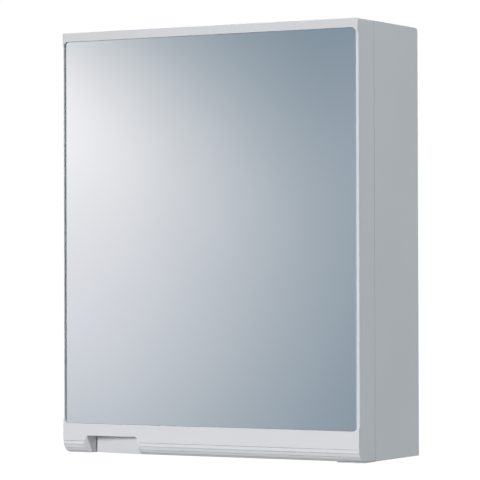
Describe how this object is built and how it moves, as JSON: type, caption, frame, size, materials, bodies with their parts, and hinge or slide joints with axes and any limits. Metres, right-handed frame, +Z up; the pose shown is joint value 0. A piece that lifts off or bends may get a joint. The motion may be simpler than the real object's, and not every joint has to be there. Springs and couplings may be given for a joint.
{
  "type": "mirror cabinet",
  "caption": "Wall-hung bathroom mirror cabinet: deep moulded white body with glass shelves, and a side-hinged mirror door with a finger recess in its grooved lower edge.",
  "frame": {"origin": "middle of the back face, which lies on the wall", "axes": "+X to the right seen from the front, +Y from the front towards the wall, +Z up"},
  "size_m": [0.355, 0.14, 0.4503],
  "materials": {
    "white_plastic": "satin moulded, white",
    "liner_plastic": "fine grained, white",
    "mirror": "silvered glass, ground edge",
    "shelf_glass": "clear, polished edges",
    "foam": "closed-cell foam tape",
    "white_steel": "white powder coat",
    "steel": "bright nickel plate",
    "zinc": "zinc plated",
    "acetal": "natural acetal",
    "ferrite": "sintered ferrite"
  },
  "bodies": {
    "cabinet": {"body_shell": "white_plastic", "hinge_plate_top": "white_steel", "hinge_plate_bottom": "white_steel", "hinge_pin_top": "steel", "hinge_pin_bottom": "steel", "hinge_plate_screws": "zinc", "shelf_upper": "shelf_glass", "shelf_lower": "shelf_glass", "shelf_pegs": "steel", "hanger_plate_left": "zinc", "hanger_plate_right": "zinc", "hanger_plate_screws": "zinc", "catch_housing": "liner_plastic", "catch_magnet": "ferrite", "catch_pole_plates": "steel", "catch_screws": "zinc"},
    "door": {"door_frame": "white_plastic", "door_liner": "liner_plastic", "liner_screws": "zinc", "mirror_glass": "mirror", "mirror_tape": "foam", "pivot_bush_top": "acetal", "pivot_bush_bottom": "acetal", "strike_plate": "steel", "strike_screws": "zinc"}
  },
  "joints": [
    {"name": "door_hinge", "type": "hinge", "parent": "cabinet", "child": "door", "pos_m": [0.173, -0.124, 0], "axis": [0, 0, 1], "range_deg": [0, 110]}
  ]
}
